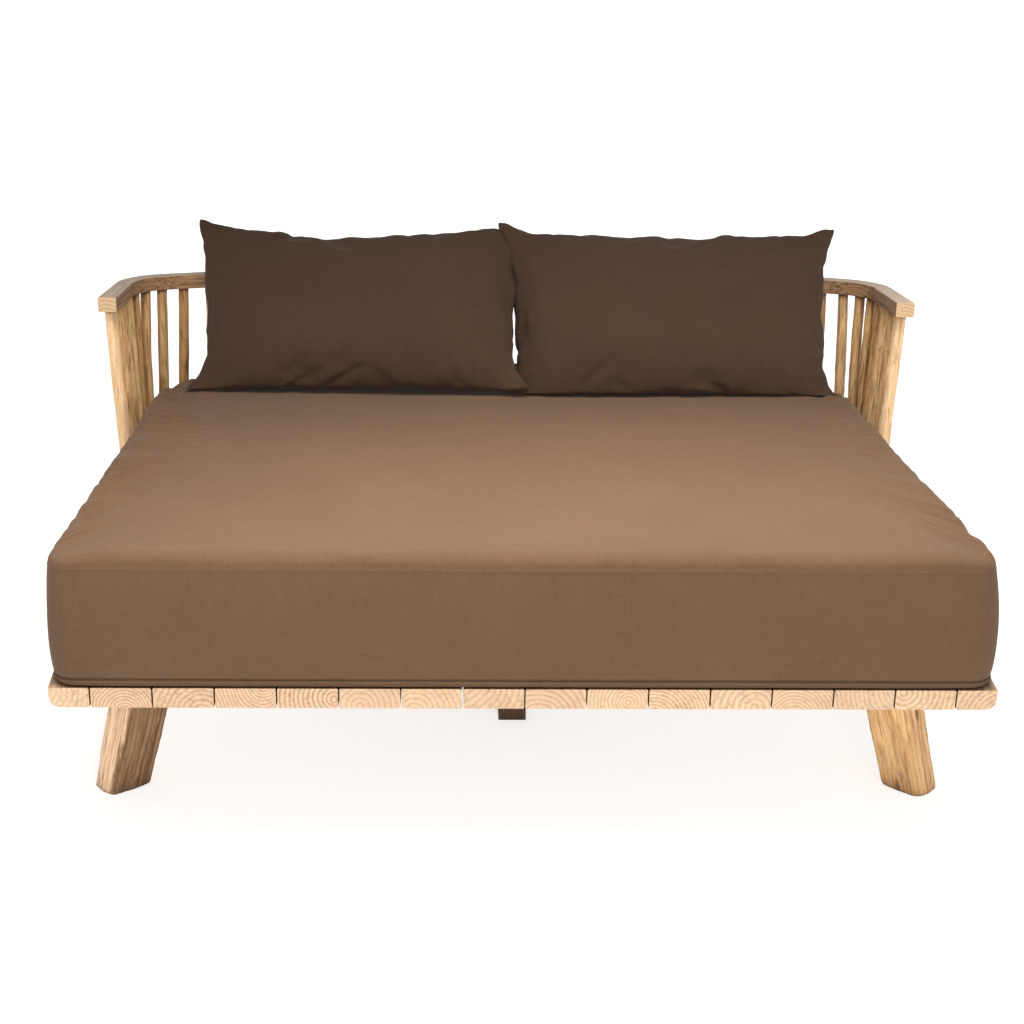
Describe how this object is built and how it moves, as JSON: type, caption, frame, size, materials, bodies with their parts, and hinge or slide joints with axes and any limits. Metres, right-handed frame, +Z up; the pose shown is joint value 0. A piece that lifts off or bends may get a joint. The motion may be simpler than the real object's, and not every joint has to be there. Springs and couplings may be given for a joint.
{
  "type": "daybed",
  "caption": "Low teak daybed: plank platform on splayed legs, curved spindle back with a bent top rail, thick box mattress and loose back cushions.",
  "frame": {"origin": "on the floor, at the centre of the object's footprint", "axes": "+X to the right seen from the front, +Y to the back, +Z up"},
  "size_m": [1.88, 1.5889, 0.8986],
  "materials": {
    "plank_teak": "matt, lightly oiled, sawn",
    "rail_teak": "matt, weathered",
    "spindle_teak": "matt, peeled branch wood",
    "leg_teak": "matt, rough hewn",
    "bearer_wood": "matt, dark",
    "dowel_wood": "matt",
    "fastener_steel": "zinc plated",
    "cover_fabric": "plain woven outdoor canvas",
    "foam": "open-cell foam",
    "fill": "fibre fill"
  },
  "bodies": {
    "frame": {"back_spindles": "spindle_teak", "bearer_centre_front": "bearer_wood", "bearer_centre_rear": "bearer_wood", "bearer_front": "bearer_wood", "bearer_rear": "bearer_wood", "centre_leg_front": "bearer_wood", "centre_leg_rear": "bearer_wood", "front_leg_left": "leg_teak", "front_leg_right": "leg_teak", "left_front_post": "spindle_teak", "left_spindle_1": "spindle_teak", "left_spindle_2": "spindle_teak", "left_spindle_3": "spindle_teak", "left_spindle_4": "spindle_teak", "left_spindle_5": "spindle_teak", "left_spindle_6": "spindle_teak", "leg_bolts": "fastener_steel", "plank_01": "plank_teak", "plank_02": "plank_teak", "plank_03": "plank_teak", "plank_04": "plank_teak", "plank_05": "plank_teak", "plank_06": "plank_teak", "plank_07": "plank_teak", "plank_08": "plank_teak", "plank_09": "plank_teak", "plank_10": "plank_teak", "plank_11": "plank_teak", "plank_12": "plank_teak", "plank_13": "plank_teak", "plank_14": "plank_teak", "plank_15": "plank_teak", "plank_16": "plank_teak", "plank_17": "plank_teak", "plank_18": "plank_teak", "plank_screws": "fastener_steel", "rail_arm_left": "rail_teak", "rail_arm_right": "rail_teak", "rail_back_centre": "rail_teak", "rail_back_left": "rail_teak", "rail_back_right": "rail_teak", "rail_corner_left": "rail_teak", "rail_corner_right": "rail_teak", "rail_dowels": "dowel_wood", "rear_leg_left": "leg_teak", "rear_leg_right": "leg_teak", "right_front_post": "spindle_teak", "right_spindle_1": "spindle_teak", "right_spindle_2": "spindle_teak", "right_spindle_3": "spindle_teak", "right_spindle_4": "spindle_teak", "right_spindle_5": "spindle_teak", "right_spindle_6": "spindle_teak"},
    "mattress": {"mattress_cover": "cover_fabric", "mattress_core": "foam"},
    "left_cushion": {"left_cushion_cover": "cover_fabric", "left_cushion_fill": "fill"},
    "right_cushion": {"right_cushion_cover": "cover_fabric", "right_cushion_fill": "fill"}
  },
  "joints": [
    {"name": "mattress_lift", "type": "slide", "parent": "frame", "child": "mattress", "axis": [0, 0, 1], "range_m": [0, 0.5]},
    {"name": "left_cushion_lift", "type": "slide", "parent": "mattress", "child": "left_cushion", "axis": [0, 0, 1], "range_m": [0, 0.45]},
    {"name": "right_cushion_lift", "type": "slide", "parent": "mattress", "child": "right_cushion", "axis": [0, 0, 1], "range_m": [0, 0.45]}
  ]
}
